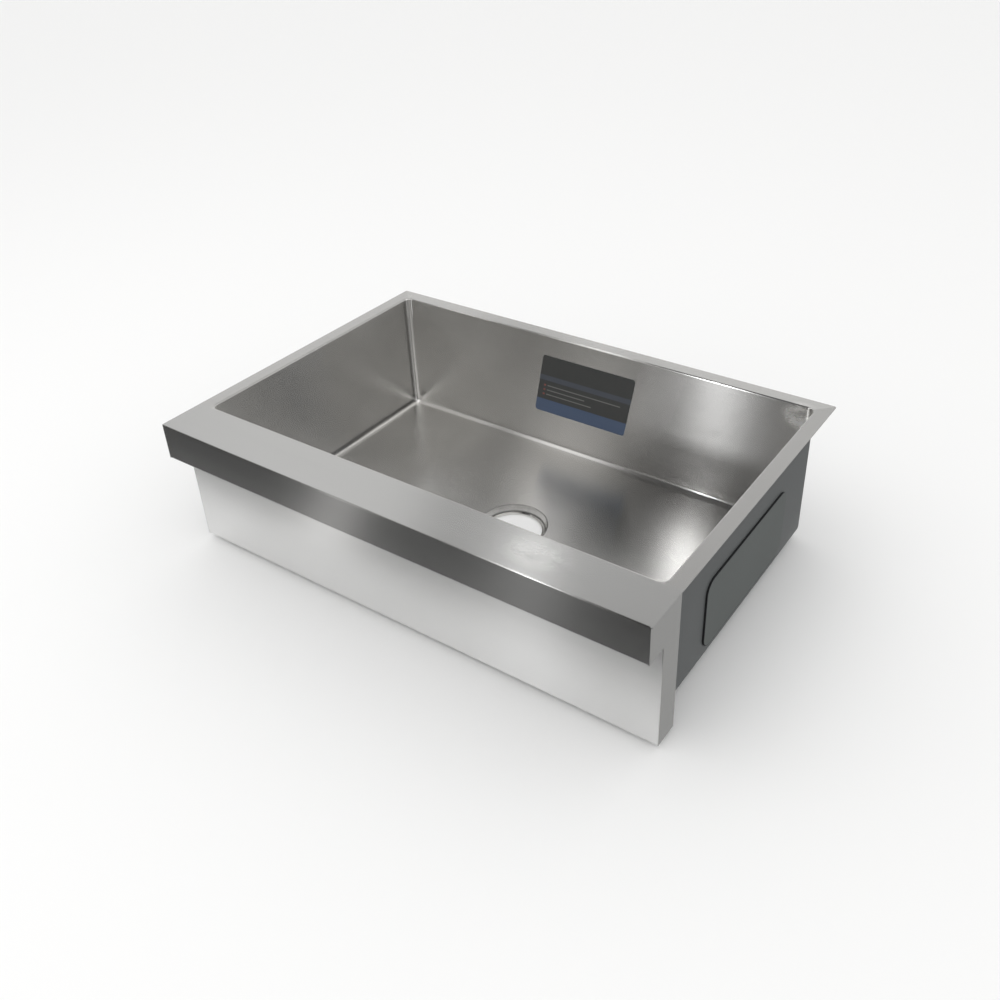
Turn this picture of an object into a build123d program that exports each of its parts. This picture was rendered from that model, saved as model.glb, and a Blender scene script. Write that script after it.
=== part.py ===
# Farmhouse apron front sink: a welded sheet bowl with flat rim flanges, a deep
# boxed ledge in front, a set-back apron below it, and the stiffeners, sound
# pads and sprayed coating behind.  Millimetres, +Z up, +X to the right as seen
# from the front, +Y to the back.  Origin: centre of the footprint, at the
# lowest point, the lip under the drain outlet.
from build123d import *
import os

# ---------------------------------------------------------------- dimensions
SINK_WIDTH = 800.0          # over the side rims
SINK_DEPTH = 550.0          # ledge face to back rim edge
TOP_Z = 225.0               # top of rim and ledge
SHEET = 1.2                 # stainless sheet

BOWL_HALF = 377.0           # bowl, half the inside width
BOWL_FRONT = -201.0         # inside faces of the front and back walls
BOWL_BACK = 252.0
FLOOR_Z = 14.0              # inside of the floor: 211 deep
CORNER_R = 10.5             # inside upright corners
FLOOR_R = 9.5               # inside bend from wall to floor
RIM_BEND = 2.4              # outside bend from wall to rim
RIM_CORNER = 3.0            # outer corners of the back rim

SEAM_Y = -204.0             # butt seam between bowl and front ledge
LEDGE_FACE = -275.0         # front face of the ledge
LEDGE_DROP = 56.0           # height of that face
LEDGE_BEND = 1.8            # outside bend radius of the folded front sheets
APRON_FACE = -241.0         # front face of the apron
APRON_BOTTOM = 9.5
APRON_RETURN = 25.0         # lip folded back under the apron
CAP_OUT = 398.6             # outer face of the end caps
CAP_BACK = -202.2           # their rear edge
CAP_LIP_IN = 373.0          # inner edge of their rear lip
CAP_LIP_TOP = TOP_Z - 5.0

DRAIN_Y = 25.5              # the outlet is centred in the bowl
RECESS_R = 54.0             # rim of the pressed recess
SEAT_R = 50.5               # foot of its wall
HOLE_R = 45.5               # outlet hole
RECESS_DEEP = 11.0
LIP_END = 0.0               # its turned-down lip ends 3 mm below the seat

COAT = 0.8                  # sprayed coating on the outside of the bowl
COAT_TOP = TOP_Z - 4.4      # just short of the bend under the rim
COAT_HOLE_R = 66.0          # bare ring round the outlet
PAD = 2.5                   # sound pads on the walls
BASE_PAD = 2.0              # and under the floor
PAD_W, PAD_H, PAD_R = 252.0, 112.0, 20.0
PAD_Y, PAD_Z = 37.0, 88.0   # centre of a side pad
LABEL_T = 0.3               # label, stuck on the back wall inside
LABEL_TOP, LABEL_H = 189.0, 109.5

BOWL_LEN = BOWL_BACK - BOWL_FRONT
BOWL_MID = (BOWL_BACK + BOWL_FRONT) / 2
HALF_W = SINK_WIDTH / 2
BACK_Y = LEDGE_FACE + SINK_DEPTH
CX = BOWL_HALF - CORNER_R               # centres of the upright corners
CY_B = BOWL_BACK - CORNER_R
CY_F = BOWL_FRONT + CORNER_R
BEND_Z = FLOOR_Z + FLOOR_R              # where the floor bend meets a wall

os.makedirs("parts", exist_ok=True)


# The four mitre planes stand upright on the corner centres, at 45 degrees.
# Each one's normal points from the side wall towards the back or front wall.
def mitre(side, back):
    y = CY_B if back else CY_F
    return Plane(origin=(side * CX, y, 0), x_dir=(0, 0, 1),
                 z_dir=(-side, 1 if back else -1, 0))


# ------------------------------------------------------ forms the walls share
with BuildPart() as bowl_space:                       # the bowl's free inside
    with BuildSketch(Plane.XY.offset(FLOOR_Z)):
        with Locations((0, BOWL_MID)):
            RectangleRounded(2 * BOWL_HALF, BOWL_LEN, CORNER_R)
    extrude(amount=TOP_Z - FLOOR_Z + 20)
    fillet(bowl_space.faces().sort_by(Axis.Z)[0].edges(), FLOOR_R)

with BuildPart() as bowl_form:                        # floor, walls and rim
    with BuildSketch(Plane.XY.offset(FLOOR_Z - SHEET)):
        with Locations((0, BOWL_MID)):
            RectangleRounded(2 * (BOWL_HALF + SHEET), BOWL_LEN + 2 * SHEET,
                             CORNER_R + SHEET)
    extrude(amount=TOP_Z - FLOOR_Z + SHEET)
    fillet(bowl_form.faces().sort_by(Axis.Z)[0].edges(), FLOOR_R + SHEET)
    with BuildSketch(Plane.XY.offset(TOP_Z - SHEET)) as rim_plan:
        with Locations((0, (CAP_BACK + BACK_Y) / 2)):
            Rectangle(SINK_WIDTH, BACK_Y - CAP_BACK)
        fillet(rim_plan.vertices().group_by(Axis.Y)[-1], RIM_CORNER)
        with Locations((0, (SEAM_Y + CAP_BACK) / 2)):
            Rectangle(2 * (BOWL_HALF + SHEET), CAP_BACK - SEAM_Y)
    extrude(amount=SHEET)
    # root of the bend, under the rim
    fillet(bowl_form.edges().filter_by_position(Axis.Z, TOP_Z - SHEET - 0.01,
                                                TOP_Z - SHEET + 0.01)
           .filter_by(lambda e: abs(e.center().X) < BOWL_HALF + 3
                      and BOWL_FRONT - 2 < e.center().Y < BOWL_BACK + 3),
           RIM_BEND - SHEET)
    add(bowl_space.part, mode=Mode.SUBTRACT)
    # the rounded inner edge of the rim
    fillet(bowl_form.edges().filter_by_position(Axis.Z, TOP_Z - 0.01, TOP_Z + 0.01)
           .filter_by(lambda e: abs(e.center().X) < BOWL_HALF + 0.5
                      and BOWL_FRONT - 0.5 < e.center().Y < BOWL_BACK + 0.5),
           RIM_BEND)

with BuildPart() as coat_space:                       # the bowl's outside
    with BuildSketch(Plane.XY.offset(FLOOR_Z - SHEET)):
        with Locations((0, BOWL_MID)):
            RectangleRounded(2 * (BOWL_HALF + SHEET), BOWL_LEN + 2 * SHEET,
                             CORNER_R + SHEET)
    extrude(amount=TOP_Z - FLOOR_Z + 20)
    fillet(coat_space.faces().sort_by(Axis.Z)[0].edges(), FLOOR_R + SHEET)

with BuildPart() as coat_form:                        # a skin on it
    with BuildSketch(Plane.XY.offset(FLOOR_Z - SHEET - COAT)):
        with Locations((0, BOWL_MID)):
            RectangleRounded(2 * (BOWL_HALF + SHEET + COAT),
                             BOWL_LEN + 2 * (SHEET + COAT),
                             CORNER_R + SHEET + COAT)
    extrude(amount=COAT_TOP - FLOOR_Z + SHEET + COAT)
    fillet(coat_form.faces().sort_by(Axis.Z)[0].edges(), FLOOR_R + SHEET + COAT)
    add(coat_space.part, mode=Mode.SUBTRACT)

# ------------------------------------------------------------------ the bowl
with BuildPart() as bowl_floor:
    # the flat of the floor, as far as the corner centres
    add(bowl_form.part)
    split(bisect_by=Plane.XY.offset(BEND_Z), keep=Keep.BOTTOM)
    with Locations((0, (CY_F + CY_B) / 2, FLOOR_Z)):
        Box(2 * CX, CY_B - CY_F, 4 * SHEET, mode=Mode.INTERSECT)
    # clear the sheet inside the outlet, then turn in the pressed recess
    with Locations((0, DRAIN_Y, FLOOR_Z)):
        Cylinder(RECESS_R + 4, 3 * SHEET, mode=Mode.SUBTRACT)
    with BuildSketch(Plane.XZ.offset(-DRAIN_Y)) as recess_profile:
        with BuildLine():
            Polyline(
                (RECESS_R + 4, FLOOR_Z), (RECESS_R, FLOOR_Z),
                (SEAT_R, FLOOR_Z - RECESS_DEEP), (HOLE_R, FLOOR_Z - RECESS_DEEP),
                (HOLE_R, LIP_END), (HOLE_R + SHEET, LIP_END),
                (HOLE_R + SHEET, FLOOR_Z - RECESS_DEEP - SHEET),
                (SEAT_R + 0.9, FLOOR_Z - RECESS_DEEP - SHEET),
                (RECESS_R + 0.9, FLOOR_Z - SHEET),
                (RECESS_R + 4, FLOOR_Z - SHEET), (RECESS_R + 4, FLOOR_Z))
        make_face()
        near = lambda x, z: [v for v in recess_profile.vertices()
                             if abs(v.X - x) < 0.05 and abs(v.Z - z) < 0.05]
        fillet(near(RECESS_R, FLOOR_Z), 2.6)
        fillet(near(SEAT_R, FLOOR_Z - RECESS_DEEP), 1.4)
        fillet(near(HOLE_R, FLOOR_Z - RECESS_DEEP), 0.7)
        fillet(near(RECESS_R + 0.9, FLOOR_Z - SHEET), 1.4)
        fillet(near(SEAT_R + 0.9, FLOOR_Z - RECESS_DEEP - SHEET), 2.2)
    revolve(axis=Axis((0, DRAIN_Y, 0), (0, 0, 1)))


def floor_bend(*cuts):
    # the bend from the floor up to one wall, mitred at both ends
    with BuildPart() as bend:
        add(bowl_form.part)
        split(bisect_by=Plane.XY.offset(BEND_Z), keep=Keep.BOTTOM)
        for cut in cuts:
            split(bisect_by=cut, keep=Keep.TOP)
    return bend.part


back_bend_part = floor_bend(
    Plane(origin=(0, CY_B, 0), x_dir=(1, 0, 0), z_dir=(0, 1, 0)),
    mitre(-1, True), mitre(1, True))
front_bend_part = floor_bend(
    Plane(origin=(0, CY_F, 0), x_dir=(1, 0, 0), z_dir=(0, -1, 0)),
    mitre(-1, False), mitre(1, False))
left_bend_part = floor_bend(
    Plane(origin=(-CX, 0, 0), x_dir=(0, 1, 0), z_dir=(-1, 0, 0)),
    -mitre(-1, True), -mitre(-1, False))
right_bend_part = floor_bend(
    Plane(origin=(CX, 0, 0), x_dir=(0, 1, 0), z_dir=(1, 0, 0)),
    -mitre(1, True), -mitre(1, False))

with BuildPart() as bowl_back_wall:
    add(bowl_form.part)
    split(bisect_by=Plane.XY.offset(BEND_Z), keep=Keep.TOP)
    split(bisect_by=mitre(-1, True), keep=Keep.TOP)
    split(bisect_by=mitre(1, True), keep=Keep.TOP)

with BuildPart() as bowl_front_wall:
    add(bowl_form.part)
    split(bisect_by=Plane.XY.offset(BEND_Z), keep=Keep.TOP)
    split(bisect_by=mitre(-1, False), keep=Keep.TOP)
    split(bisect_by=mitre(1, False), keep=Keep.TOP)

with BuildPart() as bowl_left_wall:
    add(bowl_form.part)
    split(bisect_by=Plane.XY.offset(BEND_Z), keep=Keep.TOP)
    split(bisect_by=mitre(-1, True), keep=Keep.BOTTOM)
    split(bisect_by=mitre(-1, False), keep=Keep.BOTTOM)

with BuildPart() as bowl_right_wall:
    add(bowl_form.part)
    split(bisect_by=Plane.XY.offset(BEND_Z), keep=Keep.TOP)
    split(bisect_by=mitre(1, True), keep=Keep.BOTTOM)
    split(bisect_by=mitre(1, False), keep=Keep.BOTTOM)

# ------------------------------------------------------- ledge, apron, ends
LEDGE_LOW = TOP_Z - LEDGE_DROP
BODY_HALF = CAP_OUT - SHEET             # the folded sheets end at the caps
TAB_IN = BOWL_HALF + SHEET

with BuildPart() as front_ledge:
    # one folded strip: top, drop face and a return lip back to the apron
    with BuildSketch(Plane.YZ.offset(-BODY_HALF)):
        with BuildLine() as ledge_path:
            FilletPolyline((SEAM_Y, TOP_Z - SHEET / 2),
                           (LEDGE_FACE + SHEET / 2, TOP_Z - SHEET / 2),
                           (LEDGE_FACE + SHEET / 2, LEDGE_LOW + SHEET / 2),
                           (APRON_FACE, LEDGE_LOW + SHEET / 2),
                           radius=LEDGE_BEND - SHEET / 2)
        trace(line_width=SHEET)
    extrude(amount=2 * BODY_HALF)
    # the top runs on over the end caps, to the line of the side rims
    with BuildSketch(Plane.XY.offset(TOP_Z - SHEET)) as ledge_ears:
        with Locations(((BODY_HALF + HALF_W) / 2, (LEDGE_FACE + SEAM_Y) / 2),
                       (-(BODY_HALF + HALF_W) / 2, (LEDGE_FACE + SEAM_Y) / 2)):
            Rectangle(HALF_W - BODY_HALF, SEAM_Y - LEDGE_FACE)
        fillet(ledge_ears.vertices().filter_by(
            lambda v: abs(v.X) > HALF_W - 0.1 and v.Y < LEDGE_FACE + 0.1), 1.6)
        # short tabs beside the bowl's bend, butted to the side rims
        with Locations(((TAB_IN + HALF_W) / 2, (SEAM_Y + CAP_BACK) / 2),
                       (-(TAB_IN + HALF_W) / 2, (SEAM_Y + CAP_BACK) / 2)):
            Rectangle(HALF_W - TAB_IN, CAP_BACK - SEAM_Y)
    extrude(amount=SHEET)

with BuildPart() as apron_panel:
    with BuildSketch(Plane.YZ.offset(-BODY_HALF)):
        with BuildLine() as apron_path:
            FilletPolyline((APRON_FACE + SHEET / 2, LEDGE_LOW + SHEET),
                           (APRON_FACE + SHEET / 2, APRON_BOTTOM + SHEET / 2),
                           (APRON_FACE + APRON_RETURN, APRON_BOTTOM + SHEET / 2),
                           radius=LEDGE_BEND - SHEET / 2)
        trace(line_width=SHEET)
    extrude(amount=2 * BODY_HALF)


def end_cap(side):
    with BuildPart() as cap:
        x_in = side * BODY_HALF
        with BuildSketch(Plane.YZ.offset(x_in)) as cap_plan:
            with BuildLine():
                Polyline((LEDGE_FACE, TOP_Z - SHEET), (CAP_BACK, TOP_Z - SHEET),
                         (CAP_BACK, APRON_BOTTOM), (APRON_FACE, APRON_BOTTOM),
                         (APRON_FACE, LEDGE_LOW), (LEDGE_FACE, LEDGE_LOW),
                         (LEDGE_FACE, TOP_Z - SHEET))
            make_face()
            fillet(cap_plan.vertices().filter_by(
                lambda v: v.Y < LEDGE_FACE + 0.1 or
                (v.Y < APRON_FACE + 0.1 and v.Z < APRON_BOTTOM + 0.1)), 1.2)
        extrude(amount=side * SHEET)
        # rear lip, folded in to close the gap beside the bowl
        with BuildSketch(Plane.XZ.offset(-CAP_BACK)):
            with Locations((side * (BODY_HALF + CAP_LIP_IN) / 2,
                            (APRON_BOTTOM + CAP_LIP_TOP) / 2)):
                Rectangle(BODY_HALF - CAP_LIP_IN, CAP_LIP_TOP - APRON_BOTTOM)
        extrude(amount=SHEET)
    return cap.part


left_end_cap_part = end_cap(-1)
right_end_cap_part = end_cap(1)

# --------------------------------------------------- what stiffens the front
with BuildPart() as ledge_stiffener:
    # top-hat section bonded under the ledge
    hat_low = TOP_Z - SHEET - 26.0
    with BuildSketch(Plane.YZ.offset(-360.0)):
        with BuildLine() as hat_path:
            FilletPolyline((-268.0, hat_low), (-259.0, hat_low),
                           (-256.0, TOP_Z - SHEET - 0.5),
                           (-220.0, TOP_Z - SHEET - 0.5),
                           (-217.0, hat_low), (-208.0, hat_low),
                           radius=1.6)
        trace(line_width=1.0)
    extrude(amount=720.0)

RIB_DEEP_F = APRON_FACE + SHEET         # back of the apron sheet
RIB_DEEP_B = BOWL_FRONT - SHEET         # front of the bowl's front wall
RIB_LOW, RIB_HIGH = 36.0, 178.0


def apron_rib(x):
    # upright channel between apron and bowl, open to the right
    with BuildPart() as rib:
        with BuildSketch(Plane.XY.offset(RIB_LOW)):
            with BuildLine():
                FilletPolyline((x + 18.0, RIB_DEEP_F + 0.6),
                               (x, RIB_DEEP_F + 0.6),
                               (x, RIB_DEEP_B - 0.6),
                               (x + 18.0, RIB_DEEP_B - 0.6), radius=1.4)
            trace(line_width=SHEET)
        extrude(amount=RIB_HIGH - RIB_LOW)
    return rib.part


left_apron_rib_part = apron_rib(-230.0)
centre_apron_rib_part = apron_rib(-9.0)
right_apron_rib_part = apron_rib(212.0)

# ------------------------------------------------------------ sprayed coating
with BuildPart() as base_coating:
    add(coat_form.part)
    split(bisect_by=Plane.XY.offset(BEND_Z), keep=Keep.BOTTOM)
    with Locations((0, DRAIN_Y, FLOOR_Z - SHEET)):
        Cylinder(COAT_HOLE_R, 6, mode=Mode.SUBTRACT)

with BuildPart() as back_coating:
    add(coat_form.part)
    split(bisect_by=Plane.XY.offset(BEND_Z), keep=Keep.TOP)
    split(bisect_by=mitre(-1, True), keep=Keep.TOP)
    split(bisect_by=mitre(1, True), keep=Keep.TOP)

with BuildPart() as left_coating:
    add(coat_form.part)
    split(bisect_by=Plane.XY.offset(BEND_Z), keep=Keep.TOP)
    split(bisect_by=mitre(-1, True), keep=Keep.BOTTOM)
    split(bisect_by=mitre(-1, False), keep=Keep.BOTTOM)

with BuildPart() as right_coating:
    add(coat_form.part)
    split(bisect_by=Plane.XY.offset(BEND_Z), keep=Keep.TOP)
    split(bisect_by=mitre(1, True), keep=Keep.BOTTOM)
    split(bisect_by=mitre(1, False), keep=Keep.BOTTOM)

# ------------------------------------------------------------------ sound pads
WALL_X = BOWL_HALF + SHEET + COAT
WALL_B = BOWL_BACK + SHEET + COAT
BASE_Z = FLOOR_Z - SHEET - COAT

with BuildPart() as right_sound_pad:
    with BuildSketch(Plane.YZ.offset(WALL_X)):
        with Locations((PAD_Y, PAD_Z)):
            RectangleRounded(PAD_W, PAD_H, PAD_R)
    extrude(amount=PAD)
    chamfer(right_sound_pad.faces().sort_by(Axis.X)[-1].edges(), 0.5)

with BuildPart() as left_sound_pad:
    with BuildSketch(Plane.YZ.offset(-WALL_X)):
        with Locations((PAD_Y, PAD_Z)):
            RectangleRounded(PAD_W, PAD_H, PAD_R)
    extrude(amount=-PAD)
    chamfer(left_sound_pad.faces().sort_by(Axis.X)[0].edges(), 0.5)

with BuildPart() as back_sound_pad:
    with BuildSketch(Plane.XZ.offset(-WALL_B)):
        with Locations((0, PAD_Z)):
            RectangleRounded(420.0, PAD_H, PAD_R)
    extrude(amount=-PAD)
    chamfer(back_sound_pad.faces().sort_by(Axis.Y)[-1].edges(), 0.5)


def base_pad(side):
    with BuildPart() as pad:
        with BuildSketch(Plane.XY.offset(BASE_Z)):
            with Locations((side * 215.0, BOWL_MID)):
                RectangleRounded(230.0, 330.0, PAD_R)
        extrude(amount=-BASE_PAD)
        chamfer(pad.faces().sort_by(Axis.Z)[0].edges(), 0.4)
    return pad.part


left_base_pad_part = base_pad(-1)
right_base_pad_part = base_pad(1)

# ------------------------------------------------------------------- the label
with BuildPart() as info_label:
    # a slanted card stuck to the back wall, inside
    with BuildSketch(Plane.XZ.offset(-BOWL_BACK)) as label_plan:
        with BuildLine():
            Polyline((-88.0, LABEL_TOP), (87.0, LABEL_TOP),
                     (67.0, LABEL_TOP - LABEL_H), (-108.0, LABEL_TOP - LABEL_H),
                     (-88.0, LABEL_TOP))
        make_face()
        fillet(label_plan.vertices(), 5.0)
    extrude(amount=LABEL_T)

# ----------------------------------------------------------------- hand it out
pieces = {
    "bowl_floor": bowl_floor.part,
    "back_bend": back_bend_part,
    "front_bend": front_bend_part,
    "left_bend": left_bend_part,
    "right_bend": right_bend_part,
    "bowl_back_wall": bowl_back_wall.part,
    "bowl_front_wall": bowl_front_wall.part,
    "bowl_left_wall": bowl_left_wall.part,
    "bowl_right_wall": bowl_right_wall.part,
    "front_ledge": front_ledge.part,
    "apron_panel": apron_panel.part,
    "left_end_cap": left_end_cap_part,
    "right_end_cap": right_end_cap_part,
    "ledge_stiffener": ledge_stiffener.part,
    "left_apron_rib": left_apron_rib_part,
    "centre_apron_rib": centre_apron_rib_part,
    "right_apron_rib": right_apron_rib_part,
    "base_coating": base_coating.part,
    "back_coating": back_coating.part,
    "left_coating": left_coating.part,
    "right_coating": right_coating.part,
    "left_sound_pad": left_sound_pad.part,
    "right_sound_pad": right_sound_pad.part,
    "back_sound_pad": back_sound_pad.part,
    "left_base_pad": left_base_pad_part,
    "right_base_pad": right_base_pad_part,
    "info_label": info_label.part,
}
for name, solid in pieces.items():
    solid.label = name
    export_step(solid, f"parts/{name}.step")
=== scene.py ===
import math

import bpy
from mathutils import Matrix, Vector

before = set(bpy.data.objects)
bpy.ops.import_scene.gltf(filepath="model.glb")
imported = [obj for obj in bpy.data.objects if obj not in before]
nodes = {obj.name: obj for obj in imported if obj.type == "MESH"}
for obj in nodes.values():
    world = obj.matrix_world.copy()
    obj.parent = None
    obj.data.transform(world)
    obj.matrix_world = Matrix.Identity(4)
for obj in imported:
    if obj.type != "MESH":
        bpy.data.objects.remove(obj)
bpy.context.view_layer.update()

scene = bpy.context.scene
scene.view_settings.view_transform = "Standard"

# ------------------------------------------------------------------ the camera
AZ, PITCH, ROLL = (math.radians(a) for a in (-35.53, -32.68, -2.03))
ahead = Vector((math.sin(AZ) * math.cos(PITCH), math.cos(AZ) * math.cos(PITCH), math.sin(PITCH)))
right = ahead.cross(Vector((0, 0, 1))).normalized()
up = right.cross(ahead)
c, s = math.cos(ROLL), math.sin(ROLL)
cam_right, cam_up = right * c + up * s, up * c - right * s
cam_data = bpy.data.cameras.new("camera")
cam = bpy.data.objects.new("camera", cam_data)
scene.collection.objects.link(cam)
m = Matrix.Identity(4)
for i in range(3):
    m[i][0], m[i][1], m[i][2] = cam_right[i], cam_up[i], -ahead[i]
    m[i][3] = (0.77103, -1.01933, 0.97972)[i]
cam.matrix_world = m
cam_data.sensor_width = 36.0
cam_data.lens = 1032.0 / 1000 * 36.0
cam_data.shift_x, cam_data.shift_y = -0.0233, -0.0471
cam_data.clip_start, cam_data.clip_end = 0.05, 100
scene.camera = cam


# --------------------------------------------------------------- node helpers
class Tree:
    """A short way to write a node tree."""

    def __init__(self, tree):
        self.t = tree
        tree.nodes.clear()

    def node(self, kind, **props):
        n = self.t.nodes.new(kind)
        for k, v in props.items():
            setattr(n, k, v)
        return n

    def put(self, socket, value):
        if isinstance(value, bpy.types.NodeSocket):
            self.t.links.new(value, socket)
        else:
            socket.default_value = value

    def math(self, op, a, b=0.0, c=0.0, clamp=False):
        n = self.node("ShaderNodeMath", operation=op, use_clamp=clamp)
        for i, v in enumerate((a, b, c)):
            self.put(n.inputs[i], v)
        return n.outputs[0]

    def vec(self, op, a, b=(0, 0, 0), scale=None):
        n = self.node("ShaderNodeVectorMath", operation=op)
        self.put(n.inputs[0], a)
        self.put(n.inputs[1], b)
        if scale is not None:
            self.put(n.inputs["Scale"], scale)
        return n.outputs["Value"] if op in ("DOT_PRODUCT", "LENGTH", "DISTANCE") else n.outputs["Vector"]

    def ramp(self, value, lo, hi, to_lo=0.0, to_hi=1.0, smooth=True):
        n = self.node("ShaderNodeMapRange", interpolation_type="SMOOTHSTEP" if smooth else "LINEAR")
        n.clamp = True
        for name, v in (("Value", value), ("From Min", lo), ("From Max", hi), ("To Min", to_lo), ("To Max", to_hi)):
            self.put(n.inputs[name], v)
        return n.outputs["Result"]

    def split(self, v):
        n = self.node("ShaderNodeSeparateXYZ")
        self.put(n.inputs[0], v)
        return n.outputs[0], n.outputs[1], n.outputs[2]

    def join(self, x, y, z):
        n = self.node("ShaderNodeCombineXYZ")
        for i, v in enumerate((x, y, z)):
            self.put(n.inputs[i], v)
        return n.outputs[0]

    def noise(self, v, scale=1.0, detail=2.0, rough=0.5, distortion=0.0):
        n = self.node("ShaderNodeTexNoise")
        self.put(n.inputs["Vector"], v)
        n.inputs["Scale"].default_value = scale
        n.inputs["Detail"].default_value = detail
        n.inputs["Roughness"].default_value = rough
        n.inputs["Distortion"].default_value = distortion
        return n.outputs["Fac"]

    def mix(self, fac, a, b, blend="MIX"):
        n = self.node("ShaderNodeMix", data_type="RGBA", blend_type=blend)
        n.clamp_factor = True
        self.put(n.inputs["Factor"], fac)
        for i, v in ((6, a), (7, b)):
            self.put(n.inputs[i], (*v, 1) if isinstance(v, tuple) and len(v) == 3 else v)
        return n.outputs[2]

    def mixv(self, fac, a, b):
        n = self.node("ShaderNodeMix", data_type="VECTOR")
        self.put(n.inputs["Factor"], fac)
        self.put(n.inputs[4], a)
        self.put(n.inputs[5], b)
        return n.outputs[1]


# ------------------------------------------------------------------- the light
world = bpy.data.worlds.new("studio")
scene.world = world
world.use_nodes = True
world.cycles.sampling_method = "NONE"
w = Tree(world.node_tree)
gaze = w.node("ShaderNodeTexCoord").outputs["Generated"]
gx, gy, gz = w.split(gaze)
# the steel is brushed lengthwise, so the room is laid out in strips about that axis:
# along is the share of a direction that runs along the sink, and turn is the angle round it,
# 0 at the horizon in front, 90 overhead, 180 at the horizon behind
turn = w.math("ARCTAN2", gz, w.math("MULTIPLY", gy, -1.0))
R = math.radians


def softbox(along, half_a, soft_a, angle, half_t, soft_t):
    """A soft-edged light of the studio, as a mask: 1 inside, 0 outside."""
    off = w.math("ABSOLUTE", w.math("SUBTRACT", gx, along))
    side = w.ramp(off, half_a + soft_a, half_a)
    lean = w.math("ABSOLUTE", w.math("WRAP", w.math("SUBTRACT", turn, R(angle)), math.pi, -math.pi))
    return w.math("MULTIPLY", side, w.ramp(lean, R(half_t + soft_t), R(half_t)))


ROOM_LIGHTS = [
    # along, half, soft, turn, half, soft, colour, strength
    (0.0, 1.0, 0.3, 160, 12, 35, (1.0, 1.0, 0.99), 0.69),        # pale wall behind
    (0.0, 1.0, 0.3, -155, 28, 30, (1.0, 1.0, 0.99), 0.36),
    (0.245, 0.30, 0.05, 67, 36, 20, (1.0, 0.995, 0.98), 1.15),     # large overhead softbox
    (0.47, 0.12, 0.06, 67, 36, 20, (1.0, 0.995, 0.98), 0.75),      # brighter towards its right side
    (0.58, 0.06, 0.04, 110, 22, 18, (1.0, 0.995, 0.98), 0.6),
    (-0.455, 0.02, 0.035, 49, 30, 20, (1.0, 0.99, 0.975), 1.35),     # strips on the left
    (-0.45, 0.010, 0.03, -5, 20, 20, (1.0, 0.99, 0.975), 0.35),
    (-0.625, 0.09, 0.03, 75, 16, 20, (1.0, 0.99, 0.975), 0.75),
    (-0.612, 0.006, 0.022, -15, 24, 15, (1.0, 0.99, 0.975), 1.2),
    (-0.435, 0.014, 0.03, -77, 8, 20, (1.0, 0.99, 0.98), 1.1),
    (-0.69, 0.12, 0.04, 117, 10, 20, (1.0, 1.0, 1.0), 0.58),
    (-0.451, 0.004, 0.022, 110, 4, 18, (1.0, 1.0, 1.0), 4.4),
    (-0.30, 0.07, 0.06, 140, 15, 25, (1.0, 1.0, 1.0), 0.13),
    (0.95, 0.05, 0.10, 69, 50, 25, (1.0, 1.0, 1.0), 1.9),         # tall panel on the right
    (-0.90, 0.13, 0.10, -122, 38, 25, (1.0, 1.0, 1.0), 1.5),
]
total = w.vec("SCALE", (1.0, 0.995, 0.985), scale=0.05)
for al, ha, sa, an, ht, st, colour, strength in ROOM_LIGHTS:
    total = w.vec("ADD", total, w.vec("SCALE", tuple(k * strength for k in colour), scale=softbox(al, ha, sa, an, ht, st)))
seen = w.node("ShaderNodeBackground")
w.put(seen.inputs["Color"], total)
even = w.node("ShaderNodeBackground")
even.inputs["Color"].default_value = (1.0, 1.0, 1.0, 1)
even.inputs["Strength"].default_value = 1.0
pick = w.node("ShaderNodeMixShader")
w.put(pick.inputs[0], w.node("ShaderNodeLightPath").outputs["Is Glossy Ray"])
w.put(pick.inputs[1], even.outputs[0])
w.put(pick.inputs[2], seen.outputs[0])
w.put(w.node("ShaderNodeOutputWorld").inputs["Surface"], pick.outputs[0])


def area(name, at, look_at, size, watts, colour=(1, 1, 1), glossy=True):
    data = bpy.data.lights.new(name, "AREA")
    data.shape = "RECTANGLE"
    data.size, data.size_y = size
    data.energy = watts
    data.color = colour
    lamp = bpy.data.objects.new(name, data)
    scene.collection.objects.link(lamp)
    lamp.location = at
    lamp.rotation_mode = "QUATERNION"
    lamp.rotation_quaternion = (Vector(look_at) - Vector(at)).to_track_quat("-Z", "Y")
    lamp.visible_glossy = glossy
    lamp.visible_diffuse = not glossy
    lamp.visible_camera = False
    return lamp


area("key_softbox", (-0.5, -0.9, 2.4), (0, 0, 0.1), (2.2, 2.2), 10.0, glossy=False)
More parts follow.
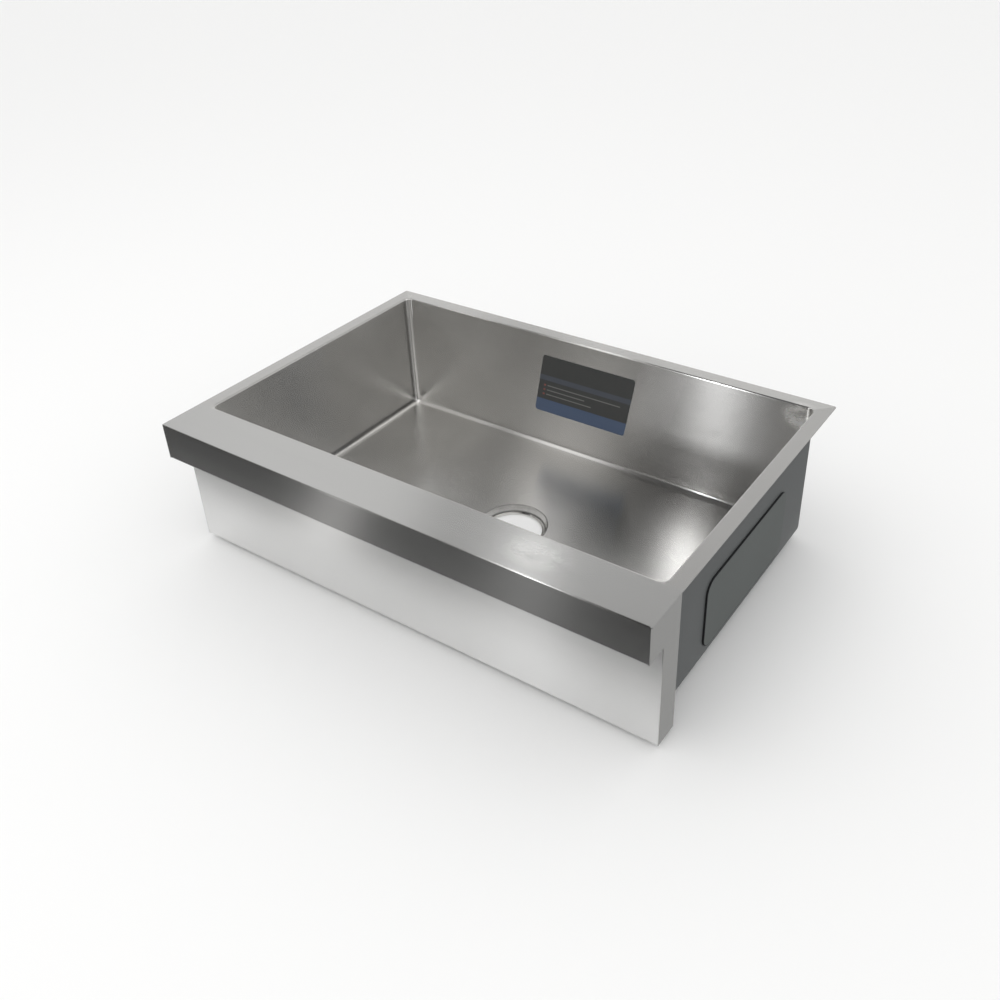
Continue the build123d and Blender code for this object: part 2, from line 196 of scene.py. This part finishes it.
# narrow upright lights at the front left, each flagged off all but the sheets it is for
bowl = ("bowl_floor", "back_bend", "front_bend", "left_bend", "right_bend",
        "bowl_back_wall", "bowl_front_wall", "bowl_left_wall", "bowl_right_wall")
for name, place, size, watts, colour, sheets in (
        ("near_strip_low", (-0.462, -1.6, 0.60), (0.04, 0.09), 6.4, (0.98, 0.99, 1.0), bowl),
        ("near_strip_high", (-0.500, -1.6, 0.735), (0.030, 0.13), 1.35, (0.98, 0.99, 1.0), bowl),
        ("near_strip_top", (-0.516, -1.6, 0.93), (0.030, 0.28), 0.62, (0.98, 0.99, 1.0), bowl),
        ("floor_strip", (-0.658, -1.6, 1.56), (0.09, 0.36), 0.36, (0.98, 0.99, 1.0), ("bowl_floor",)),
        ("bend_strip", (-0.525, -1.6, 1.10), (0.06, 0.25), 0.45, (0.98, 0.99, 1.0), ("back_bend",)),
        ("ledge_strip", (-0.458, -1.6, 0.70), (0.05, 0.28), 1.2, (0.98, 0.99, 1.0), ("front_ledge",)),
        ("far_strip", (-2.75, -3.0, 1.8), (0.10, 0.9), 4.0, (1.0, 0.99, 0.975), bowl),
        ("apron_strip", (-0.46, -1.6, 0.70), (0.05, 0.28), 3.0, (0.98, 0.99, 1.0), ("apron_panel",))):
    lit = bpy.data.collections.new(name + "_sheets")
    for sheet in sheets:
        lit.objects.link(nodes[sheet])
    area(name, place, (0.1, 0.0, 0.2), size, watts, colour).light_linking.receiver_collection = lit



# ------------------------------------------------------------------- the floor
def flat_mesh(name, verts, faces, material):
    me = bpy.data.meshes.new(name)
    me.from_pydata(verts, [], faces)
    me.materials.append(material)
    me.update()
    ob = bpy.data.objects.new(name, me)
    scene.collection.objects.link(ob)
    return ob


floor_mat = bpy.data.materials.new("pale_floor")
floor_mat.use_nodes = True
t = Tree(floor_mat.node_tree)
bs = t.node("ShaderNodeBsdfPrincipled")
bs.inputs["Base Color"].default_value = (0.90, 0.90, 0.895, 1)
bs.inputs["Roughness"].default_value = 0.9
bs.inputs["Specular IOR Level"].default_value = 0.1
t.put(t.node("ShaderNodeOutputMaterial").inputs[0], bs.outputs[0])
X0, X1, Y0, Y1, FAR = -1.0, 0.40, -0.37, 0.8, 30.0
floor_near = flat_mesh("floor_near", [(X0, Y0, 0), (X1, Y0, 0), (X1, Y1, 0), (X0, Y1, 0)], [(0, 1, 2, 3)], floor_mat)
floor_far = flat_mesh(
    "floor_far",
    [(X0, Y0, 0), (X1, Y0, 0), (X1, Y1, 0), (X0, Y1, 0),
     (-FAR, -FAR, 0), (FAR, -FAR, 0), (FAR, FAR, 0), (-FAR, FAR, 0)],
    [(4, 5, 1, 0), (5, 6, 2, 1), (6, 7, 3, 2), (7, 4, 0, 3)], floor_mat)
floor_far.visible_glossy = False


# -------------------------------------------------------------- the materials
def material(name):
    mat = bpy.data.materials.new(name)
    mat.use_nodes = True
    t = Tree(mat.node_tree)
    bs = t.node("ShaderNodeBsdfPrincipled")
    t.put(t.node("ShaderNodeOutputMaterial").inputs[0], bs.outputs[0])
    at = t.node("ShaderNodeTexCoord").outputs["Object"]
    return mat, t, bs, at


DRAIN = (0.0, 0.0255)


def steel(name, grain, colour, rough=0.20, top=None, drain=False, rim=0.05, face=1.0, scuff_and_sheen_patches=()):
    """Brushed stainless sheet. grain is the axis that the brushing runs along.

    top is the roughness of its flat rim, where that differs from the wall's."""
    mat, t, bs, at = material(name)
    x, y, z = t.split(at)
    normal = t.node("ShaderNodeNewGeometry").outputs["Normal"]
    _, _, nz = t.split(normal)
    flat = t.ramp(t.math("ABSOLUTE", nz), 0.55, 0.8)          # 1 on the rims and ledge tops
    long, fine = 7.0, 1500.0
    if grain == "x":
        lines_at = t.vec("MULTIPLY", at, (long, fine, fine))
        streak_at = t.vec("MULTIPLY", at, (2.2, 160.0, 160.0))
    else:
        side_at = t.vec("MULTIPLY", at, (fine, long, fine))
        top_at = t.vec("MULTIPLY", at, (long, fine, fine))
        lines_at = t.mixv(flat, side_at, top_at)
        streak_at = t.mixv(flat, t.vec("MULTIPLY", at, (160.0, 2.2, 160.0)), t.vec("MULTIPLY", at, (2.2, 160.0, 160.0)))
    lines = t.noise(lines_at, 1.0, 3.0, 0.65)
    streaks = t.noise(streak_at, 1.0, 2.0, 0.6)
    cloud = t.noise(at, 9.0, 3.0, 0.55, 0.4)
    tone = t.math("ADD", t.math("MULTIPLY", t.math("SUBTRACT", lines, 0.5), 0.09),
                  t.math("MULTIPLY", t.math("SUBTRACT", streaks, 0.5), 0.05))
    tone = t.math("ADD", tone, t.math("MULTIPLY", t.math("SUBTRACT", cloud, 0.5), 0.07))
    tone = t.math("ADD", tone, 1.0)
    base = rough if top is None else t.ramp(flat, 0.0, 1.0, rough, top, smooth=False)
    roughness = t.math("ADD", t.math("MULTIPLY", t.math("SUBTRACT", lines, 0.5), 0.06), base)
    roughness = t.math("ADD", roughness, t.math("MULTIPLY", t.math("SUBTRACT", cloud, 0.5), 0.05))
    # painted light: flat tops above z 0.216 get their tone raised by rim; a negative rim paints them darker
    tone = t.math("ADD", tone, t.math("MULTIPLY", t.math("MULTIPLY", flat, t.ramp(z, 0.216, 0.222)), rim))
    if face < 1.0:
        # painted shade: the drop face under the ledge is made a little darker than its top
        tone = t.math("MULTIPLY", tone, t.ramp(z, 0.221, 0.2235, face, 1.0))
    bump_height = t.math("ADD", lines, t.math("MULTIPLY", streaks, 0.5))
    for place, size, gain, extra in scuff_and_sheen_patches:
        # a scuffed patch: crossing scratches, duller and paler; the paler tone is partly wear and partly a painted
        # highlight
        d = t.vec("LENGTH", t.vec("DIVIDE", t.vec("SUBTRACT", at, place), size))
        mask = t.ramp(d, 1.0, 0.25)
        cut = 0.0
        for k, lean in enumerate((0.35, -0.6, 1.3)):
            ca, sa = math.cos(lean), math.sin(lean)
            other = t.math("ADD", y, z)
            along = t.math("ADD", t.math("MULTIPLY", x, ca), t.math("MULTIPLY", other, sa))
            cross = t.math("SUBTRACT", t.math("MULTIPLY", other, ca), t.math("MULTIPLY", x, sa))
            fine_cut = t.noise(t.join(t.math("MULTIPLY", along, 55.0), t.math("MULTIPLY", cross, 620.0), 7.0 * k), 1.0, 2.0, 0.55)
            cut = t.math("ADD", cut, t.ramp(fine_cut, 0.54, 0.72))
        cloudy = t.noise(t.vec("MULTIPLY", at, (32.0, 48.0, 48.0)), 1.0, 2.0, 0.5)
        blot = t.ramp(cloudy, 0.20, 0.66)
        strength = t.math("MULTIPLY", t.math("MULTIPLY", mask, blot), t.math("ADD", t.math("MULTIPLY", cut, 0.26), 0.62))
        tone = t.math("ADD", tone, t.math("MULTIPLY", strength, gain))
        roughness = t.math("ADD", roughness, t.math("MULTIPLY", strength, extra))
    tangent = (1.0, 0.0, 0.0)
    if grain == "y":
        tangent = t.mixv(flat, (0.0, 1.0, 0.0), (1.0, 0.0, 0.0))
    if drain:
        # the pressed recess is polished round its axis
        out = t.join(t.math("SUBTRACT", x, DRAIN[0]), t.math("SUBTRACT", y, DRAIN[1]), 0.0)
        away = t.vec("LENGTH", out)
        press = t.ramp(away, 0.0555, 0.0535)
        around = t.vec("CROSS_PRODUCT", (0.0, 0.0, 1.0), t.vec("NORMALIZE", out))
        tangent = t.mixv(press, (1.0, 0.0, 0.0), around)
        rings = t.noise(t.join(t.math("MULTIPLY", away, 2600.0), 0.0, t.math("MULTIPLY", z, 2600.0)), 1.0, 2.0, 0.6)
        roughness = t.math("ADD", t.math("MULTIPLY", roughness, t.ramp(press, 0.0, 1.0, 1.0, 0.8)),
                           t.math("MULTIPLY", t.math("MULTIPLY", press, rings), 0.06))
        tone = t.math("ADD", tone, t.math("MULTIPLY", press, 0.12))
        # painted shade: three dark rings at the recess's outer edge, its step and the edge of the hole
        for radius, width, ring_darkness in ((0.0547, 0.0011, 0.50), (0.0503, 0.0013, 0.62), (0.0463, 0.0007, 0.40)):
            dark_ring_shade = t.ramp(t.math("ABSOLUTE", t.math("SUBTRACT", away, radius)), width, width * 0.3)
            tone = t.math("SUBTRACT", tone, t.math("MULTIPLY", dark_ring_shade, ring_darkness))
    bs.inputs["Metallic"].default_value = 1.0
    bs.inputs["Anisotropic"].default_value = 1.0
    bs.inputs["Anisotropic Rotation"].default_value = 0.25
    t.put(bs.inputs["Base Color"], t.vec("SCALE", colour, scale=tone))
    t.put(bs.inputs["Roughness"], t.math("MAXIMUM", roughness, 0.08))
    if isinstance(tangent, tuple):
        tangent = t.join(*tangent)
    t.put(bs.inputs["Tangent"], tangent)
    b = t.node("ShaderNodeBump")
    b.inputs["Strength"].default_value = 0.02
    b.inputs["Distance"].default_value = 0.00004
    t.put(b.inputs["Height"], bump_height)
    t.put(bs.inputs["Normal"], b.outputs[0])
    return mat


STEEL = (0.612, 0.606, 0.594)
bowl_x = steel("bowl_steel_long", "x", STEEL)
bowl_floor_mat = steel("bowl_steel_floor", "x", STEEL, drain=True)
# painted shade: rim=-0.11 darkens the side rims
bowl_y = steel("bowl_steel_cross", "y", (0.69, 0.683, 0.67), rough=0.235, rim=-0.11)
back_wall_mat = steel("bowl_steel_back", "x", (0.60, 0.594, 0.582), rough=0.255, top=0.20, rim=0.07,
                      scuff_and_sheen_patches=[((0.357, 0.252, 0.206), (0.034, 0.02, 0.027), 1.5, 0.06)])
# painted shade: face=0.82 darkens the ledge's drop face
ledge_mat = steel("ledge_steel_brushed", "x", (0.63, 0.628, 0.62), rough=0.25, rim=0.0, face=0.82,
                  scuff_and_sheen_patches=[((0.223, -0.234, 0.225), (0.062, 0.036, 0.01), 0.34, 0.04)])
# painted light: the apron is a lit copy of the steel, its colour far paler than the other sheets so that it renders
# bright
apron_painted_bright = steel("apron_steel_painted_bright", "x", (0.87, 0.87, 0.865), rough=0.25)
cap_mat = steel("end_cap_steel_brushed", "y", (0.62, 0.62, 0.61))


def paint(name, colour, rough, speck=0.25, peel=0.3):
    """Sprayed coating: fine orange peel, specks of overspray and slow tone changes."""
    mat, t, bs, at = material(name)
    grit = t.noise(at, 1400.0, 2.0, 0.6)
    wave = t.noise(at, 260.0, 3.0, 0.55)
    cloud = t.noise(at, 6.0, 3.0, 0.5)
    tone = t.math("ADD", 1.0, t.math("MULTIPLY", t.math("SUBTRACT", grit, 0.5), speck))
    tone = t.math("ADD", tone, t.math("MULTIPLY", t.math("SUBTRACT", cloud, 0.5), 0.22))
    t.put(bs.inputs["Base Color"], t.vec("SCALE", colour, scale=tone))
    t.put(bs.inputs["Roughness"], t.math("ADD", rough, t.math("MULTIPLY", t.math("SUBTRACT", grit, 0.5), 0.2)))
    b = t.node("ShaderNodeBump")
    b.inputs["Strength"].default_value = peel
    b.inputs["Distance"].default_value = 0.0002
    t.put(b.inputs["Height"], t.math("ADD", wave, t.math("MULTIPLY", grit, 0.4)))
    t.put(bs.inputs["Normal"], b.outputs[0])
    return mat


coat_mat = paint("sprayed_coating", (0.085, 0.091, 0.092), 0.46)


def pad_material(name, facing, outline=None):
    """Rubber pad: black at its edges, sprayed over on the face that points along facing.

    outline is the middle, half size and corner radius of a side pad, in y and z."""
    mat, t, bs, at = material(name)
    normal = t.node("ShaderNodeNewGeometry").outputs["Normal"]
    face = t.ramp(t.vec("DOT_PRODUCT", normal, facing), 0.80, 0.95)
    if outline:
        # the spray doesn't reach the last millimetre of the pad's edge
        (mid_y, mid_z), (half_y, half_z), corner = outline
        _, y, z = t.split(at)
        qy = t.math("SUBTRACT", t.math("SUBTRACT", mid_y, y), half_y - corner)
        qz = t.math("SUBTRACT", t.math("ABSOLUTE", t.math("SUBTRACT", z, mid_z)), half_z - corner)
        round_part = t.vec("LENGTH", t.join(t.math("MAXIMUM", qy, 0.0), t.math("MAXIMUM", qz, 0.0), 0.0))
        flat_part = t.math("MINIMUM", t.math("MAXIMUM", qy, qz), 0.0)
        inside = t.math("SUBTRACT", corner, t.math("ADD", round_part, flat_part))
        face = t.math("MULTIPLY", face, t.ramp(inside, 0.0006, 0.0018))
    grit = t.noise(at, 1400.0, 2.0, 0.6)
    cloud = t.noise(at, 6.0, 3.0, 0.5)
    tone = t.math("ADD", 1.0, t.math("MULTIPLY", t.math("SUBTRACT", grit, 0.5), 0.25))
    tone = t.math("ADD", tone, t.math("MULTIPLY", t.math("SUBTRACT", cloud, 0.5), 0.2))
    sprayed = t.vec("SCALE", (0.084, 0.094, 0.091), scale=tone)
    t.put(bs.inputs["Base Color"], t.mix(face, (0.006, 0.007, 0.008), sprayed))
    t.put(bs.inputs["Roughness"], t.ramp(face, 0.0, 1.0, 0.8, 0.5))
    b = t.node("ShaderNodeBump")
    b.inputs["Strength"].default_value = 0.3
    b.inputs["Distance"].default_value = 0.0002
    t.put(b.inputs["Height"], t.noise(at, 300.0, 3.0, 0.55))
    t.put(bs.inputs["Normal"], b.outputs[0])
    return mat


def galvanised(name):
    mat, t, bs, at = material(name)
    v = t.node("ShaderNodeTexVoronoi")
    t.put(v.inputs["Vector"], at)
    v.inputs["Scale"].default_value = 160.0
    spangle = t.split(v.outputs["Color"])[0]
    tone = t.math("ADD", 0.88, t.math("MULTIPLY", spangle, 0.2))
    bs.inputs["Metallic"].default_value = 1.0
    t.put(bs.inputs["Base Color"], t.vec("SCALE", (0.56, 0.58, 0.59), scale=tone))
    t.put(bs.inputs["Roughness"], t.math("ADD", 0.42, t.math("MULTIPLY", spangle, 0.16)))
    return mat


LABEL_TOP, LABEL_LOW = 0.189, 0.0795


def label_material(name):
    """Charcoal card with plain slate bands and thin rules."""
    mat, t, bs, at = material(name)
    x, y, z = t.split(at)
    down = t.math("DIVIDE", t.math("SUBTRACT", LABEL_TOP, z), LABEL_TOP - LABEL_LOW)
    lean = t.math("ADD", x, t.math("MULTIPLY", down, 0.020))        # from the slanted left side
    across = t.math("DIVIDE", t.math("ADD", lean, 0.088), 0.175)

    def band(value, a, b, soft=0.004):
        return t.math("MULTIPLY", t.ramp(value, a - soft, a), t.ramp(value, b + soft, b))

    paper = t.noise(at, 900.0, 3.0, 0.6)
    tone = t.math("ADD", 0.94, t.math("MULTIPLY", paper, 0.12))
    colour = t.mix(band(down, 0.345, 0.43), (0.062, 0.064, 0.063), (0.085, 0.095, 0.115))
    colour = t.mix(band(down, 0.775, 1.2), colour, (0.088, 0.125, 0.205))
    for d, a, b in ((0.52, 0.10, 0.90), (0.60, 0.10, 0.52), (0.68, 0.10, 0.60)):
        rule = t.math("MULTIPLY", band(down, d - 0.008, d + 0.008, 0.003), band(across, a, b))
        colour = t.mix(t.math("MULTIPLY", rule, 0.55), colour, (0.30, 0.30, 0.29))
    for d in (0.52, 0.60, 0.68):
        dot = t.math("MULTIPLY", band(down, d - 0.014, d + 0.014, 0.004), band(across, 0.060, 0.078))
        colour = t.mix(t.math("MULTIPLY", dot, 0.7), colour, (0.33, 0.10, 0.08))
    t.put(bs.inputs["Base Color"], t.vec("SCALE", colour, scale=tone))
    bs.inputs["Roughness"].default_value = 0.38
    b = t.node("ShaderNodeBump")
    b.inputs["Strength"].default_value = 0.08
    b.inputs["Distance"].default_value = 0.0001
    t.put(b.inputs["Height"], paper)
    t.put(bs.inputs["Normal"], b.outputs[0])
    return mat


SIDE_PAD = ((0.037, 0.088), (0.126, 0.056), 0.020)

looks = {
    "bowl_floor": bowl_floor_mat,
    "back_bend": bowl_x, "front_bend": bowl_x,
    "left_bend": bowl_y, "right_bend": bowl_y,
    "bowl_back_wall": back_wall_mat, "bowl_front_wall": bowl_x,
    "bowl_left_wall": bowl_y, "bowl_right_wall": bowl_y,
    "front_ledge": ledge_mat, "apron_panel": apron_painted_bright,
    "left_end_cap": cap_mat, "right_end_cap": cap_mat,
    "base_coating": coat_mat, "back_coating": coat_mat,
    "left_coating": coat_mat, "right_coating": coat_mat,
    "left_sound_pad": pad_material("pad_left", (-1.0, 0.0, 0.0), SIDE_PAD),
    "right_sound_pad": pad_material("pad_right", (1.0, 0.0, 0.0), SIDE_PAD),
    "back_sound_pad": pad_material("pad_back", (0.0, 1.0, 0.0)),
    "info_label": label_material("label_card_printed"),
}
base_pad_mat = pad_material("pad_base", (0.0, 0.0, -1.0))
zinc = galvanised("zinc_sheet")
for name in ("left_base_pad", "right_base_pad"):
    looks[name] = base_pad_mat
for name in ("ledge_stiffener", "left_apron_rib", "centre_apron_rib", "right_apron_rib"):
    looks[name] = zinc
for name, mat in looks.items():
    nodes[name].data.materials[0] = mat
